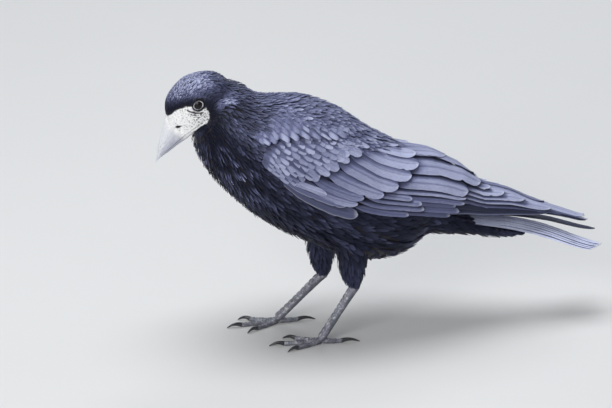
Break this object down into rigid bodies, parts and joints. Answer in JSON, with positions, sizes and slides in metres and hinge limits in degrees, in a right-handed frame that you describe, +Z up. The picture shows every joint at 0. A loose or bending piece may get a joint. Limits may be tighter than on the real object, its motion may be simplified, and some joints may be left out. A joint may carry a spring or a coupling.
{
  "type": "rook",
  "caption": "Life-size rook in mid-step, head lowered: pale bare face and bill, folded wings, closed tail and bare scaled legs, as a still display model.",
  "frame": {"origin": "on the floor, under the middle of the bird's box", "axes": "-X from tail to bill, +Y to the bird's right, +Z up from the floor"},
  "size_m": [0.4048, 0.1332, 0.2589],
  "materials": {
    "plumage": "glossy black feather with a blue-violet sheen",
    "wing_feathers": "smooth slate-black vanes with a blue-violet sheen and pale worn edges",
    "tail_feathers": "smooth slate-black vanes with a blue-violet sheen",
    "bill_horn": "pale grey horn, scabby and whitish at the base",
    "eye": "wet, near-black brown",
    "leg_skin": "dusty dark grey scutes",
    "claw_horn": "dark polished horn"
  },
  "bodies": {
    "root": {"trunk": "plumage", "neck": "plumage", "head": "plumage", "rump": "plumage", "bill_upper": "bill_horn", "bill_lower": "bill_horn", "eye_left": "eye", "eye_right": "eye", "wing_left_forearm": "wing_feathers", "wing_left_greater_coverts": "wing_feathers", "wing_left_alula": "wing_feathers", "wing_left_secondaries": "wing_feathers", "wing_left_primaries": "wing_feathers", "wing_right_forearm": "wing_feathers", "wing_right_greater_coverts": "wing_feathers", "wing_right_alula": "wing_feathers", "wing_right_secondaries": "wing_feathers", "wing_right_primaries": "wing_feathers", "tail_left": "tail_feathers", "tail_right": "tail_feathers", "thigh_left": "plumage", "thigh_right": "plumage", "tarsus_left": "leg_skin", "tarsus_right": "leg_skin", "toe_left_middle": "leg_skin", "toe_left_inner": "leg_skin", "toe_left_outer": "leg_skin", "toe_left_hind": "leg_skin", "toe_right_middle": "leg_skin", "toe_right_inner": "leg_skin", "toe_right_outer": "leg_skin", "toe_right_hind": "leg_skin", "claw_left_middle": "claw_horn", "claw_left_inner": "claw_horn", "claw_left_outer": "claw_horn", "claw_left_hind": "claw_horn", "claw_right_middle": "claw_horn", "claw_right_inner": "claw_horn", "claw_right_outer": "claw_horn", "claw_right_hind": "claw_horn"}
  },
  "joints": []
}
